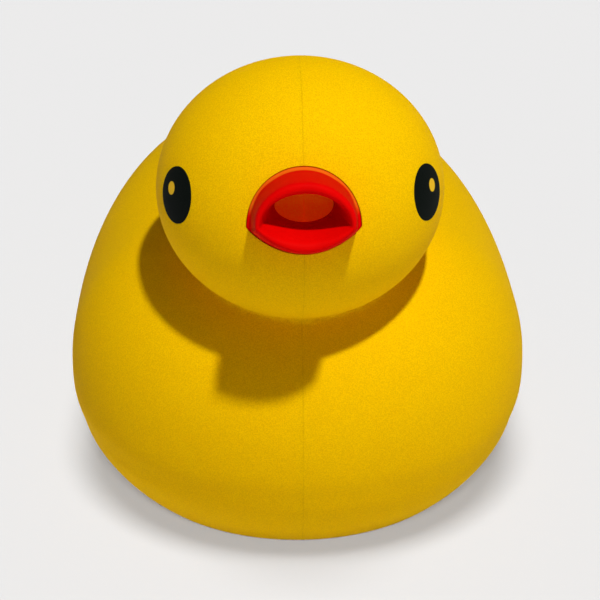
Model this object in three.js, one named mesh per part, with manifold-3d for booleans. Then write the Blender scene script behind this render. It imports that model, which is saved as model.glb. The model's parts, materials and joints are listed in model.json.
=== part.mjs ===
// Floating chlorine dispenser in the shape of a duck.
// Millimetres, +Z up, the duck looks along -Y, origin on the floor under the middle.
import * as THREE from 'three';
import { mergeVertices } from 'three/addons/utils/BufferGeometryUtils.js';
import { ParametricGeometry } from 'three/addons/geometries/ParametricGeometry.js';
import Module from 'manifold-3d';

const wasm = await Module();
wasm.setup();

// ---- Driving dimensions ----
const GAP = 0.3; // clearance between neighbouring pieces
const WALL = 2.8; // duck shell wall
const BODY_HALF_WIDTH = 100;
const BODY_MID_Y = -3.35;
const BODY_MID_Z = 52;
const BODY_FRONT = 91; // from the widest section to the chest
const BODY_REAR = 124; // from the widest section to the stern
const BODY_TOP = 78.3;
const BODY_BOTTOM = 76;
const STERN_RISE = 42.6;
const REAR_FULLNESS = 2.66; // exponent of the rear outline, 2 is an ellipse
const TOP_FULLNESS = 2.35; // exponent of the upper cross-section
const BELLY_Z = 1; // height of the flat belly
const HEAD = new THREE.Vector3(0, -43.85, 154.7);
const HEAD_RADIUS = 57.7;
const HEAD_HALF_HEIGHT = 51.4;
const BILL_TILT = THREE.MathUtils.degToRad(14.9);
const BILL_BASE = 57.2; // from the head's centre to the bill's root, along the bill
const BILL_BACK = -8; // inner end of the bill's plug, from its root
const EYE_RADIUS = 11;
const EYE_DIRECTION = new THREE.Vector3(49.2, -28.1, 9.7);
const WELL_RADIUS = 51; // outside of the well
const WELL_INNER = 49;
const WELL_TOP = 105;
const RECESS_RADIUS = 65.6; // recess in the belly for the base ring
const SEAT_Z = 10; // ceiling of that recess
const SCREW_CIRCLE = 60.5;
const SCREW_COUNT = 6;
const RING_TOP = 5; // base ring height
const CANISTER_RADIUS = 43;
const CANISTER_INNER = 40.8;
const CANISTER_FOOT = 5.5;
const SLEEVE_TOP = 89.7; // where the canister's head is joined on
const CANISTER_TOP = 100;
const SLEEVE_RADIUS = 45.4; // outside of the vent collar and the cap
const COLLAR_LOW = 13;
const COLLAR_HIGH = 47;
const VENT_COUNT = 6;
const VENT_WIDTH = 13;
const VENT_LOW = 18;
const VENT_HIGH = 43;
const TRAY_LOW = 14.7;
const TRAY_HIGH = 17;
const CAP_LOW = 1.2;
const TETHER_SEAT = new THREE.Vector3(0, 103.2, 32.5); // on the stern, low down
const TETHER_SLOPE = THREE.MathUtils.degToRad(-30); // the seat looks out and down
const TETHER_RING_RADIUS = 8;

// ---- Materials ----
const plastic = (color, roughness) =>
  new THREE.MeshStandardMaterial({ color, roughness, metalness: 0 });
const metal = (color, roughness) =>
  new THREE.MeshStandardMaterial({ color, roughness, metalness: 1 });
const YELLOW = 0xf2c304;
const RED = 0xdf1206;
const BLACK = 0x16181a;
const WHITE = 0xe4e6e4;
const BLUE = 0x2f6fae;
const STEEL = 0xb8bcc0;

// ---- Solids ----
function solid(geometry) {
  const bare = geometry.clone();
  bare.deleteAttribute('normal');
  bare.deleteAttribute('uv');
  const merged = mergeVertices(bare, 1e-4);
  const index = Array.from(merged.index.array);
  const triangles = [];
  for (let i = 0; i < index.length; i += 3) {
    const [a, b, c] = index.slice(i, i + 3);
    if (a !== b && b !== c && c !== a) triangles.push(a, b, c);
  }
  const vertProperties = new Float32Array(merged.attributes.position.array);
  const triVerts = new Uint32Array(triangles);
  return new wasm.Manifold(new wasm.Mesh({ numProp: 3, vertProperties, triVerts }));
}

function geometryOf(manifold) {
  const { vertProperties, triVerts } = manifold.getMesh();
  const geometry = new THREE.BufferGeometry();
  geometry.setAttribute('position', new THREE.BufferAttribute(vertProperties, 3));
  geometry.setIndex(new THREE.BufferAttribute(triVerts, 1));
  geometry.computeVertexNormals();
  return geometry;
}

const box = (width, depth, height, x, y, z) =>
  solid(new THREE.BoxGeometry(width, depth, height).translate(x, y, z));

// A disc or rod standing on Z, from low to high.
function disc(radius, low, high, x = 0, y = 0, sides = 36) {
  const geometry = new THREE.CylinderGeometry(radius, radius, high - low, sides);
  return solid(geometry.rotateX(Math.PI / 2).translate(x, y, (low + high) / 2));
}

// A solid of revolution round Z from [radius, z] pairs, closed on itself.
function turned(profile, sides = 36) {
  const points = profile.map(([r, z]) => new THREE.Vector2(r, z));
  if (profile[0][0] > 0) points.push(points[0].clone());
  return outward(solid(new THREE.LatheGeometry(points, sides).rotateX(Math.PI / 2)));
}

const washer = (inner, outer, low, high, sides = 36) =>
  turned([[inner, low], [outer, low], [outer, high], [inner, high]], sides);

// A mesh built inside out is turned the right way.
function outward(manifold) {
  if (manifold.volume() > 0) return manifold;
  const { vertProperties, triVerts } = manifold.getMesh();
  const flipped = triVerts.slice().reverse();
  return new wasm.Manifold(new wasm.Mesh({ numProp: 3, vertProperties, triVerts: flipped }));
}

const polar = (radius, degrees) => {
  const angle = THREE.MathUtils.degToRad(degrees);
  return [radius * Math.cos(angle), radius * Math.sin(angle)];
};

// Joins a list of solids.
const join = (solids) => solids.reduce((all, one) => all.add(one));

// ---- Duck body and head ----
const spread = (value, power) => Math.sign(value) * Math.abs(value) ** power;

function bodySolid(inset, slices, stacks) {
  const surface = (u, v, target) => {
    const along = -Math.cos(Math.PI * u);
    const side = Math.cos(2 * Math.PI * v);
    const lift = Math.sin(2 * Math.PI * v);
    const rear = along > 0;
    const fullness = rear ? REAR_FULLNESS : 2;
    const girth = (1 - Math.abs(along) ** fullness) ** (1 / fullness);
    const power = lift > 0 ? 2 / TOP_FULLNESS : 1;
    const tall = (lift > 0 ? BODY_TOP : BODY_BOTTOM) - inset;
    const long = (rear ? BODY_REAR : BODY_FRONT) - inset;
    const middle = BODY_MID_Z + STERN_RISE * Math.max(along, 0) ** 2.2;
    target.x = (BODY_HALF_WIDTH - inset) * girth * spread(side, power);
    target.y = BODY_MID_Y + long * along;
    target.z = middle + tall * girth * spread(lift, power);
  };
  const ground = BELLY_Z + inset;
  const below = box(400, 400, 100, 0, 0, ground - 50);
  const skin = solid(new ParametricGeometry(surface, slices, stacks));
  return outward(skin).subtract(below);
}

function headSolid(inset, across = 28, down = 18) {
  const ball = new THREE.SphereGeometry(1, across, down).rotateX(Math.PI / 2);
  ball.scale(HEAD_RADIUS - inset, HEAD_RADIUS - inset, HEAD_HALF_HEIGHT - inset);
  return solid(ball.translate(HEAD.x, HEAD.y, HEAD.z));
}

function tailSolid(inset) {
  const ball = new THREE.SphereGeometry(1, 16, 10).rotateX(Math.PI / 2);
  ball.scale(36 - inset, 42 - inset, 21 - inset).rotateX(THREE.MathUtils.degToRad(42));
  return solid(ball.translate(0, 86.5, 117.5));
}

// ---- Bill: frame with x across, y up the face, z out along the bill ----
const billOut = new THREE.Vector3(0, -Math.cos(BILL_TILT), Math.sin(BILL_TILT));
const billUp = new THREE.Vector3(0, Math.sin(BILL_TILT), Math.cos(BILL_TILT));
const billFrame = new THREE.Matrix4().makeBasis(new THREE.Vector3(1, 0, 0), billUp, billOut);
billFrame.setPosition(HEAD.clone().addScaledVector(billOut, BILL_BASE));

// Outline of a bill section: a tall arch above the corners, a shallow bow below.
function billPoint(section, turn, target) {
  const [half, top, bottom, corner, bow] = section;
  const rise = Math.sin(turn);
  const low = bow * rise * rise + (1 - bow) * Math.abs(rise);
  target.x = half * Math.cos(turn);
  target.y = corner + (rise > 0 ? (top - corner) * rise : (bottom - corner) * low);
  return target;
}

function billPrism(section, low, high, sides = 32) {
  const points = [];
  for (let i = 0; i < sides; i++) {
    points.push(billPoint(section, (2 * Math.PI * i) / sides, new THREE.Vector2()));
  }
  const shape = new THREE.Shape(points);
  const prism = new THREE.ExtrudeGeometry(shape, { depth: high - low, bevelEnabled: false });
  return outward(solid(prism.translate(0, 0, low).applyMatrix4(billFrame)));
}

// Sections as [half width, top, bottom, corner height, bow], then the distance out.
const BILL_RIM = [21.6, 16.5, -16.5, -6.3, 0.8];
const BILL_RIM_SEAT = [21.9, 16.8, -16.8, -6.3, 0.8];
const BILL_PLUG = [20, 15, -15, -6, 0.8];
const BILL_PLUG_SEAT = [20.3, 15.3, -15.3, -6, 0.8];
const BILL_POCKET = [23.2, 18.2, -18.2, -6, 0.8];
const BILL_LOOP = [
  [BILL_PLUG, BILL_BACK], [BILL_PLUG, -2], [[20.3, 15.3, -14.9, -5.6, 0.8], 5],
  [[19.6, 14.6, -13.4, -4.2, 0.8], 12], [[18.9, 13.8, -12, -3, 0.8], 17],
  [[18.2, 13, -10.8, -2.2, 0.8], 19.4], [[17.2, 11.6, -8.6, -2.1, 0.8], 20],
  [[16.6, 10.3, -6.2, -2.1, 0.8], 19.2], [[16.2, 9.5, -4.9, -2.1, 0.8], 17],
  [[14, 9.2, -4.5, -0.2, 0.6], 8], [[11, 8.9, -4.5, 2.2, 0], 0],
  [[11, 8.9, -4.5, 2.2, 0], BILL_BACK],
];

function billShape() {
  const steps = BILL_LOOP.length;
  const surface = (u, v, target) => {
    const [section, out] = BILL_LOOP[Math.round(u * steps) % steps];
    const wrapped = Math.round(v * 32) % 32;
    billPoint(section, (2 * Math.PI * wrapped) / 32, target);
    target.z = out;
  };
  const loop = new ParametricGeometry(surface, steps, 32).applyMatrix4(billFrame);
  const rim = billPrism(BILL_RIM, -12, 12).intersect(headSolid(GAP));
  const rimBack = headSolid(GAP + 1.4);
  const rimHole = billPrism([18, 12, -12, -4, 0.8], -20, 20);
  return outward(solid(loop)).add(rim.subtract(rimBack).subtract(rimHole));
}

// ---- Frames that look out from the skin ----
function outwardFrame(origin, direction) {
  const turn = new THREE.Quaternion();
  turn.setFromUnitVectors(new THREE.Vector3(0, 0, 1), direction.clone().normalize());
  return new THREE.Matrix4().compose(origin, turn, new THREE.Vector3(1, 1, 1));
}

const rodIn = (frame, radius, low, high, x = 0, y = 0, sides = 16) => {
  const rod = new THREE.CylinderGeometry(radius, radius, high - low, sides);
  rod.rotateX(Math.PI / 2).translate(x, y, (low + high) / 2);
  return solid(rod.applyMatrix4(frame));
};

const eyeFrame = (side) => {
  const direction = EYE_DIRECTION.clone();
  direction.x *= side;
  return outwardFrame(HEAD, direction);
};

function eyeShape(side) {
  const plug = rodIn(eyeFrame(side), EYE_RADIUS, 40, 62, 0, 0, 24);
  return plug.intersect(headSolid(-0.1)).subtract(headSolid(1));
}

// ---- Tether seat: x across, z out of the stern ----
const tetherFrame = new THREE.Matrix4().makeRotationX(TETHER_SLOPE - Math.PI / 2);
tetherFrame.setPosition(TETHER_SEAT);
const TETHER_SCREW_X = 7;

function tetherBracket() {
  const pad = rodIn(tetherFrame, 11, -0.9, 1.6, 0, 0, 24);
  const lug = new THREE.CylinderGeometry(4.8, 4.8, 4, 18).rotateZ(Math.PI / 2);
  const ear = solid(lug.translate(0, 0, 7.5).applyMatrix4(tetherFrame));
  const stemBox = new THREE.BoxGeometry(4, 9.4, 7.5).translate(0, 0, 3.9);
  const stem = solid(stemBox.applyMatrix4(tetherFrame));
  const eyeRod = new THREE.CylinderGeometry(2.4, 2.4, 8, 12).rotateZ(Math.PI / 2);
  const eye = solid(eyeRod.translate(0, 0, 7.5).applyMatrix4(tetherFrame));
  const holes = [-1, 1].map((s) => rodIn(tetherFrame, 1.6, -3, 3, s * TETHER_SCREW_X));
  return pad.add(ear).add(stem).subtract(eye).subtract(join(holes));
}

function tetherScrew(side) {
  const x = side * TETHER_SCREW_X;
  const head = rodIn(tetherFrame, 2.6, 1.9, 3.4, x, 0, 16);
  const shank = rodIn(tetherFrame, 1.3, -7, 2, x, 0, 12);
  return head.add(shank);
}

function tetherRing() {
  const ring = new THREE.TorusGeometry(TETHER_RING_RADIUS, 1.3, 8, 24).rotateX(Math.PI / 2);
  const eye = new THREE.Vector3(0, 0, 7.5).applyMatrix4(tetherFrame);
  return solid(ring.translate(0, eye.y, eye.z - TETHER_RING_RADIUS));
}

// ---- Shell ----
function screwPlaces() {
  const places = [];
  for (let i = 0; i < SCREW_COUNT; i++) places.push(polar(SCREW_CIRCLE, (360 / SCREW_COUNT) * i));
  return places;
}

function shellWhole() {
  const outer = join([bodySolid(0, 28, 28), headSolid(0), tailSolid(0)]);
  const inner = join([bodySolid(WALL, 16, 16), headSolid(WALL, 14, 9), tailSolid(WALL)]);
  const solids = [
    disc(RECESS_RADIUS + 2.8, 0, SEAT_Z + 3),
    billPrism(BILL_POCKET, BILL_BACK - 3.5, 4),
    rodIn(tetherFrame, 13, -9, 0),
    ...screwPlaces().map(([x, y]) => disc(4, SEAT_Z, 22, x, y, 14)),
  ];
  const posts = join(solids).intersect(outer);
  return outer.subtract(inner).add(posts).subtract(shellCuts());
}

function shellCuts() {
  const eyes = [-1, 1].map((side) =>
    rodIn(eyeFrame(side), EYE_RADIUS + GAP, 40, 64, 0, 0, 24).subtract(headSolid(1 + GAP)));
  const rim = billPrism(BILL_RIM_SEAT, -12, 16).subtract(headSolid(2 + GAP));
  const pilots = screwPlaces().map(([x, y]) => disc(1.8, 0, 20, x, y, 10));
  const tethers = [-1, 1].map((s) => rodIn(tetherFrame, 1.6, -7.6, 4, s * TETHER_SCREW_X, 0, 12));
  return join([
    disc(RECESS_RADIUS, -1, SEAT_Z),
    disc(WELL_RADIUS + 0.5, -1, SEAT_Z + 6),
    billPrism(BILL_PLUG_SEAT, BILL_BACK - GAP, 16),
    rodIn(tetherFrame, 11.3, -1.2, 6, 0, 0, 28),
    rim, ...eyes, ...pilots, ...tethers,
  ]);
}

const shell = shellWhole();
const shellHalf = (side) => shell.intersect(box(300, 400, 300, side * (150 + GAP / 2), 0, 130));

// ---- Belly hardware ----
function wellHousing() {
  const cup = turned([
    [0, WELL_TOP - 2], [WELL_INNER, WELL_TOP - 2], [WELL_INNER, RING_TOP + GAP],
    [RECESS_RADIUS - 0.6, RING_TOP + GAP], [RECESS_RADIUS - 0.6, 7.7], [WELL_RADIUS, 7.7],
    [WELL_RADIUS, WELL_TOP - 1.5], [WELL_RADIUS - 1.5, WELL_TOP], [0, WELL_TOP],
  ]);
  const holes = screwPlaces().map(([x, y]) => disc(1.9, 3, 9, x, y, 10));
  return cup.subtract(join(holes));
}

function baseRing() {
  const ring = turned([
    [46.3, 0.8], [47.1, 0], [RECESS_RADIUS - 1.1, 0], [RECESS_RADIUS - GAP, 0.8],
    [RECESS_RADIUS - GAP, RING_TOP], [46.3, RING_TOP],
  ]);
  const bores = screwPlaces().map(([x, y]) => disc(3.9, -1, 3, x, y, 14).add(disc(1.9, -1, 7, x, y, 10)));
  return ring.subtract(join(bores));
}

function baseScrew(index) {
  const [x, y] = screwPlaces()[index];
  return disc(3.5, 0.6, 2.7, x, y, 14).add(disc(1.5, 2, 18.5, x, y, 10));
}

// ---- Canister ----
function ventSlots(inner, outer) {
  const slots = [];
  for (let i = 0; i < VENT_COUNT; i++) {
    const middle = (inner + outer) / 2;
    const slot = new THREE.BoxGeometry(8, VENT_WIDTH, VENT_HIGH - VENT_LOW);
    slot.translate(middle, 0, (VENT_LOW + VENT_HIGH) / 2);
    slots.push(solid(slot.rotateZ((2 * Math.PI * i) / VENT_COUNT)));
  }
  return join(slots);
}

function canisterSleeve() {
  const tube = turned([
    [CANISTER_INNER, SLEEVE_TOP], [CANISTER_INNER, CANISTER_FOOT], [CANISTER_RADIUS, CANISTER_FOOT],
    [CANISTER_RADIUS, 10.7], [44.6, 10.7], [44.6, COLLAR_LOW - GAP],
    [CANISTER_RADIUS, COLLAR_LOW - GAP], [CANISTER_RADIUS, SLEEVE_TOP],
  ]);
  const ribs = [45, 135, 225, 315].map((angle) => {
    const height = SLEEVE_TOP - COLLAR_HIGH - GAP;
    const rib = new THREE.BoxGeometry(3.4, 4, height).translate(44, 0, SLEEVE_TOP - height / 2);
    return solid(rib.rotateZ(THREE.MathUtils.degToRad(angle)));
  });
  const grooves = [90, 210, 330].map((angle) => {
    const groove = new THREE.BoxGeometry(4, 6, 16).translate(39.9, 0, CANISTER_FOOT + 6);
    return solid(groove.rotateZ(THREE.MathUtils.degToRad(angle)));
  });
  return tube.add(join(ribs)).subtract(join(grooves)).subtract(ventSlots(38, 44));
}

function canisterHead() {
  const cap = turned([
    [0, CANISTER_TOP - 2.2], [CANISTER_INNER, CANISTER_TOP - 2.2], [CANISTER_INNER, SLEEVE_TOP + GAP],
    [45.8, SLEEVE_TOP + GAP], [48.4, 92], [48.4, 94.5], [45.8, 94.5], [45.8, 97.5], [48.4, 97.5],
    [48.4, 99.4], [47.8, CANISTER_TOP], [0, CANISTER_TOP],
  ]);
  const vents = [0, 60, 120, 180, 240, 300].map((angle) => disc(2.5, 90, 104, ...polar(22, angle), 8));
  return cap.subtract(join(vents));
}

function oRing() {
  return solid(new THREE.TorusGeometry(47.3, 1.15, 8, 36).translate(0, 0, 96));
}

function ventCollar() {
  const sleeve = washer(CANISTER_RADIUS + GAP, SLEEVE_RADIUS, COLLAR_LOW, COLLAR_HIGH);
  return sleeve.subtract(ventSlots(41, 48));
}

function tabletTray() {
  const plate = turned([[0, TRAY_LOW], [40.4, TRAY_LOW], [40.4, TRAY_HIGH], [0, TRAY_HIGH]]);
  const keys = [90, 210, 330].map((angle) => {
    const key = new THREE.BoxGeometry(3.5, 5.2, TRAY_HIGH - TRAY_LOW).translate(39.8, 0, 15.85);
    return solid(key.rotateZ(THREE.MathUtils.degToRad(angle)));
  });
  const places = [[0, 0, 4], ...[0, 60, 120, 180, 240, 300].map((a) => [...polar(14, a), 4.2])];
  for (let i = 0; i < 10; i++) places.push([...polar(29, 36 * i), 5.5]);
  const holes = places.map(([x, y, r]) => disc(r, 10, 20, x, y, 8));
  return plate.add(join(keys)).subtract(join(holes));
}

function bottomCap() {
  const dish = turned([
    [0, 12], [20, 12], [24, 8], [24, CAP_LOW], [44.4, CAP_LOW], [SLEEVE_RADIUS, 2.2],
    [SLEEVE_RADIUS, 10.2], [CANISTER_RADIUS + GAP, 10.2], [CANISTER_RADIUS + GAP, 4.2],
    [26.4, 4.2], [26.4, 9], [21.2, 14.4], [0, 14.4],
  ]);
  const grip = box(44, 6, 11.5, 0, 0, 7.6);
  const holes = [];
  for (let i = 0; i < 12; i++) holes.push(disc(3.5, 0, 6, ...polar(35, 30 * i), 8));
  return dish.add(grip).subtract(join(holes));
}

// ---- Assembly ----
const duck = new THREE.Group();

function place(name, manifold, material) {
  const mesh = new THREE.Mesh(geometryOf(manifold), material);
  mesh.name = name;
  duck.add(mesh);
}

place('shell_left', shellHalf(1), plastic(YELLOW, 0.6));
place('shell_right', shellHalf(-1), plastic(YELLOW, 0.6));
place('bill', billShape(), plastic(RED, 0.45));
place('eye_left', eyeShape(1), plastic(BLACK, 0.4));
place('eye_right', eyeShape(-1), plastic(BLACK, 0.4));
place('well_housing', wellHousing(), plastic(WHITE, 0.5));
place('flange_gasket', washer(52, 57, 8, 9.7), plastic(BLACK, 0.8));
place('base_ring', baseRing(), plastic(WHITE, 0.5));
for (let i = 0; i < SCREW_COUNT; i++) place(`base_screw_${i + 1}`, baseScrew(i), metal(STEEL, 0.3));
place('ballast_ring', washer(52, 62, 22.3, 28.3), metal(0x4a4c4e, 0.7));
place('canister_sleeve', canisterSleeve(), plastic(WHITE, 0.5));
place('canister_head', canisterHead(), plastic(WHITE, 0.5));
place('canister_oring', oRing(), plastic(BLACK, 0.8));
place('vent_collar', ventCollar(), plastic(BLUE, 0.45));
place('tablet_tray', tabletTray(), plastic(WHITE, 0.5));
place('bottom_cap', bottomCap(), plastic(BLUE, 0.45));
place('tether_bracket', tetherBracket(), plastic(WHITE, 0.5));
place('tether_screw_left', tetherScrew(1), metal(STEEL, 0.3));
place('tether_screw_right', tetherScrew(-1), metal(STEEL, 0.3));
place('tether_ring', tetherRing(), metal(STEEL, 0.25));

export default duck;
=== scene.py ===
"""Floating chlorine dispenser in the shape of a duck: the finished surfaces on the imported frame."""
import json
import math

import bmesh
import bpy
from mathutils import Matrix, Vector


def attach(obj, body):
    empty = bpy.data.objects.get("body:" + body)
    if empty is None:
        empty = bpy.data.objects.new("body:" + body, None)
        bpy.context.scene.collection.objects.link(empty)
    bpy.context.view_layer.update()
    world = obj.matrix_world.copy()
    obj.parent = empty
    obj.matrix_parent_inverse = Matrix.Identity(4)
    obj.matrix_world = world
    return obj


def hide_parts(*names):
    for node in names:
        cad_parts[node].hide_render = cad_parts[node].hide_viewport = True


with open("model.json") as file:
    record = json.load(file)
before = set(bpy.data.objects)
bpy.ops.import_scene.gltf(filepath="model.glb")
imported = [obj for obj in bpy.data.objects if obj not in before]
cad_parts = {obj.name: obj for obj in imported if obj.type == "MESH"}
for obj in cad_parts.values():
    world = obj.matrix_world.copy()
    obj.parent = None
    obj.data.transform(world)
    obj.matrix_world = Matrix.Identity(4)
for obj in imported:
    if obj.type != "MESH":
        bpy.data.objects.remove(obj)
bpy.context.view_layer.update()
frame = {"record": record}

MM = 0.001
MERGE = 1e-6            # metres, below which two points are one
CORNER_SHARE = 0.45     # of a side, so that the two roundings on it never meet

# ---------------------------------------------------------------- bench tools


def settle():
    """Object mode with nothing selected."""
    if bpy.context.object and bpy.context.object.mode != "OBJECT":
        bpy.ops.object.mode_set(mode="OBJECT")
    bpy.ops.object.select_all(action="DESELECT")


def hold(piece):
    """Selects one piece alone and makes it active."""
    settle()
    piece.select_set(True)
    bpy.context.view_layer.objects.active = piece
    return piece


def open_mesh(piece):
    """Edit mode with nothing selected."""
    hold(piece)
    bpy.ops.object.mode_set(mode="EDIT")
    bpy.ops.mesh.select_all(action="DESELECT")
    return bmesh.from_edit_mesh(piece.data)


def named(name):
    """Names the new primitive and settles its place into its mesh."""
    piece = bpy.context.object
    piece.name = piece.data.name = name
    bpy.ops.object.transform_apply(location=True, rotation=True, scale=True)
    return piece


def finish_with(piece, kind, **settings):
    """Adds a modifier with its settings and applies it."""
    hold(piece)
    modifier = piece.modifiers.new(kind.title(), kind)
    for key, value in settings.items():
        setattr(modifier, key, value)
    bpy.ops.object.modifier_apply(modifier=modifier.name)
    return piece


def combine(piece, operation, tools):
    """Works each tool into the piece in turn, and uses the tools up."""
    for tool in tools:
        finish_with(piece, "BOOLEAN", operation=operation, object=tool, solver="MANIFOLD")
        bpy.data.objects.remove(tool)
    return piece


def cut(piece, *tools):
    return combine(piece, "DIFFERENCE", tools)


def weld(piece, *tools):
    return combine(piece, "UNION", tools)


def keep_inside(piece, *tools):
    return combine(piece, "INTERSECT", tools)


def copy_of(piece, name, place=None):
    """A copy with a mesh of its own, moved if a place is given."""
    twin = piece.copy()
    twin.data = piece.data.copy()
    twin.name = twin.data.name = name
    bpy.context.collection.objects.link(twin)
    if place is not None:
        twin.data.transform(place)
    return twin


def smooth_by_angle(piece, degrees=35):
    hold(piece)
    bpy.ops.object.shade_smooth_by_angle(angle=math.radians(degrees))
    return piece


def face_outwards(piece):
    """Merges doubled points and turns every face out."""
    open_mesh(piece)
    bpy.ops.mesh.select_all(action="SELECT")
    bpy.ops.mesh.remove_doubles(threshold=MERGE)
    bpy.ops.mesh.normals_make_consistent(inside=False)
    settle()
    return piece


def rod(name, radius, low, high, at=(0, 0), sides=96, lay=None):
    """An upright rod in millimetres, laid into the frame that is given."""
    settle()
    bpy.ops.mesh.primitive_cylinder_add(
        vertices=sides, radius=radius * MM, depth=(high - low) * MM,
        location=(at[0] * MM, at[1] * MM, (low + high) / 2 * MM))
    piece = named(name)
    if lay is not None:
        piece.data.transform(lay)
    return piece


def block(name, size, at):
    """A box in millimetres round its middle."""
    settle()
    bpy.ops.mesh.primitive_cube_add(size=1, location=[v * MM for v in at])
    piece = bpy.context.object
    piece.scale = [v * MM for v in size]
    return named(name)


def softened(profile, radius, steps=4):
    """Rounds every corner of a closed profile that is off the axis."""
    points = []
    for i, corner in enumerate(profile):
        here = Vector(corner)
        before = Vector(profile[i - 1])
        after = Vector(profile[(i + 1) % len(profile)])
        if here.x <= 0:
            points.append(here)
            continue
        reach = min(radius, (before - here).length * CORNER_SHARE, (after - here).length * CORNER_SHARE)
        start = here + (before - here).normalized() * reach
        end = here + (after - here).normalized() * reach
        for k in range(steps + 1):
            t = k / steps
            points.append(start * (1 - t) ** 2 + here * 2 * t * (1 - t) + end * t * t)
    return points


def turned(name, profile, soft=0.4, steps=120):
    """Draws a profile of (radius, height) corner by corner and spins it round the upright axis."""
    rounded = softened(profile, soft) if soft else profile
    points = [Vector((p[0] * MM, 0, p[1] * MM)) for p in rounded]
    closed = profile[0][0] > 0
    settle()
    bpy.ops.mesh.primitive_plane_add(size=0.001)
    piece = named(name)
    mesh = open_mesh(piece)
    mesh.verts.ensure_lookup_table()
    bmesh.ops.delete(mesh, geom=list(mesh.verts)[1:], context="VERTS")
    mesh.verts.ensure_lookup_table()
    mesh.verts[0].co = points[0]
    bpy.ops.mesh.select_mode(type="VERT")
    mesh.verts[0].select_set(True)
    bmesh.update_edit_mesh(piece.data)
    outline = points[1:] + ([points[0]] if closed else [])
    here = points[0]
    for there in outline:
        bpy.ops.mesh.extrude_vertices_move(TRANSFORM_OT_translate={"value": there - here})
        here = there
    bpy.ops.mesh.select_all(action="SELECT")
    bpy.ops.mesh.spin(steps=steps, angle=math.tau, center=(0, 0, 0), axis=(0, 0, 1))
    return face_outwards(piece)


def place_key(point):
    """A point's place, rounded so that the point can be found again."""
    return tuple(round(v, 7) for v in point)


def lofted(name, rings):
    """Draws closed rings of points one after another and joins the last to the first."""
    settle()
    bpy.ops.mesh.primitive_circle_add(vertices=len(rings[0]), radius=1, fill_type="NOTHING")
    piece = named(name)
    mesh = open_mesh(piece)
    bpy.ops.mesh.select_mode(type="EDGE")
    mesh.verts.ensure_lookup_table()
    for corner, point in zip(mesh.verts, rings[0]):
        corner.co = point
    bpy.ops.mesh.select_all(action="SELECT")
    bmesh.update_edit_mesh(piece.data)
    for last, ring in zip(rings, rings[1:]):
        bpy.ops.mesh.extrude_edges_move()
        mesh = bmesh.from_edit_mesh(piece.data)
        order = {place_key(point): i for i, point in enumerate(last)}
        for corner in [v for v in mesh.verts if v.select]:
            corner.co = ring[order[place_key(corner.co)]]
        bmesh.update_edit_mesh(piece.data)
    bpy.ops.mesh.select_all(action="DESELECT")
    mesh = bmesh.from_edit_mesh(piece.data)
    for edge in mesh.edges:
        edge.select_set(edge.is_boundary)
    bmesh.update_edit_mesh(piece.data)
    bpy.ops.mesh.bridge_edge_loops()
    return face_outwards(piece)


# ---------------------------------------------------------------- the duck's lines, in millimetres

WALL = 2.8
HALF_WIDTH, MID_Y, MID_Z = 100.0, -3.35, 52.0
FRONT, REAR, TOP, BOTTOM = 91.0, 124.0, 78.3, 76.0
STERN_RISE, STERN_CURVE, BELLY = 42.6, 2.2, 1.0
FRONT_FULLNESS, REAR_FULLNESS, TOP_FULLNESS = 2.0, 2.66, 2.35      # 2 is a plain ellipse
WATERLINE, WATERLINE_SPREAD, WATERLINE_DIP = 36.0, 5.0, 0.006      # the dip is a share of the girth
HEAD = Vector((0, -43.85, 154.7))
HEAD_RADIUS, HEAD_TALL = 57.7, 51.4
TAIL, TAIL_RADII, TAIL_TILT = (0, 86.5, 117.5), (36, 42, 21), math.radians(42)
EYE_RADIUS = 11.0
EYE_WAY, GLINT = Vector((49.2, -28.1, 9.7)), Vector((0, 3.6, 57))
BILL_TILT, BILL_REACH, BILL_CORNER_SPREAD = math.radians(14.9), 57.2, 0.16
TETHER_SEAT, TETHER_TILT, TETHER_SCREW_X = Vector((0, 103.2, 32.5)), math.radians(-120), 7
SCREW_CIRCLE = 60.5
SCREWS = [(SCREW_CIRCLE * math.cos(math.radians(a)), SCREW_CIRCLE * math.sin(math.radians(a)))
          for a in range(0, 360, 60)]


def signed_power(value, power):
    """Raises a value's size to a power and keeps its sign."""
    return math.copysign(abs(value) ** power, value)


def body_point(unit, inset):
    """Carries a point of the unit ball, pole from chest to stern, onto the duck's body."""
    along, turn = unit.z, math.atan2(unit.y, unit.x)
    side, lift = math.cos(turn), math.sin(turn)
    fullness = REAR_FULLNESS if along > 0 else FRONT_FULLNESS
    girth = max(0.0, 1 - min(1.0, abs(along)) ** fullness) ** (1 / fullness)
    power = 2 / TOP_FULLNESS if lift > 0 else 1.0
    tall = (TOP if lift > 0 else BOTTOM) - inset
    length = (REAR if along > 0 else FRONT) - inset
    height = MID_Z + STERN_RISE * max(along, 0) ** STERN_CURVE + tall * girth * signed_power(lift, power)
    waist = 1 - WATERLINE_DIP * math.exp(-((height - WATERLINE) / WATERLINE_SPREAD) ** 2)
    return Vector((
        (HALF_WIDTH - inset) * girth * signed_power(side, power) * waist,
        MID_Y + length * along * waist,
        height)) * MM


def body_form(inset, around=160, rings=120):
    """The duck's body, drawn in by the inset and cut flat below."""
    settle()
    bpy.ops.mesh.primitive_uv_sphere_add(segments=around, ring_count=rings, radius=1)
    piece = named("body_form")
    mesh = open_mesh(piece)
    for corner in mesh.verts:
        corner.co = body_point(corner.co, inset)
    bmesh.update_edit_mesh(piece.data)
    bpy.ops.mesh.select_all(action="SELECT")
    bpy.ops.mesh.normals_make_consistent(inside=False)
    bpy.ops.mesh.bisect(plane_co=(0, 0, (BELLY + inset) * MM), plane_no=(0, 0, 1),
                        use_fill=True, clear_inner=True)
    return face_outwards(piece)


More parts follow.
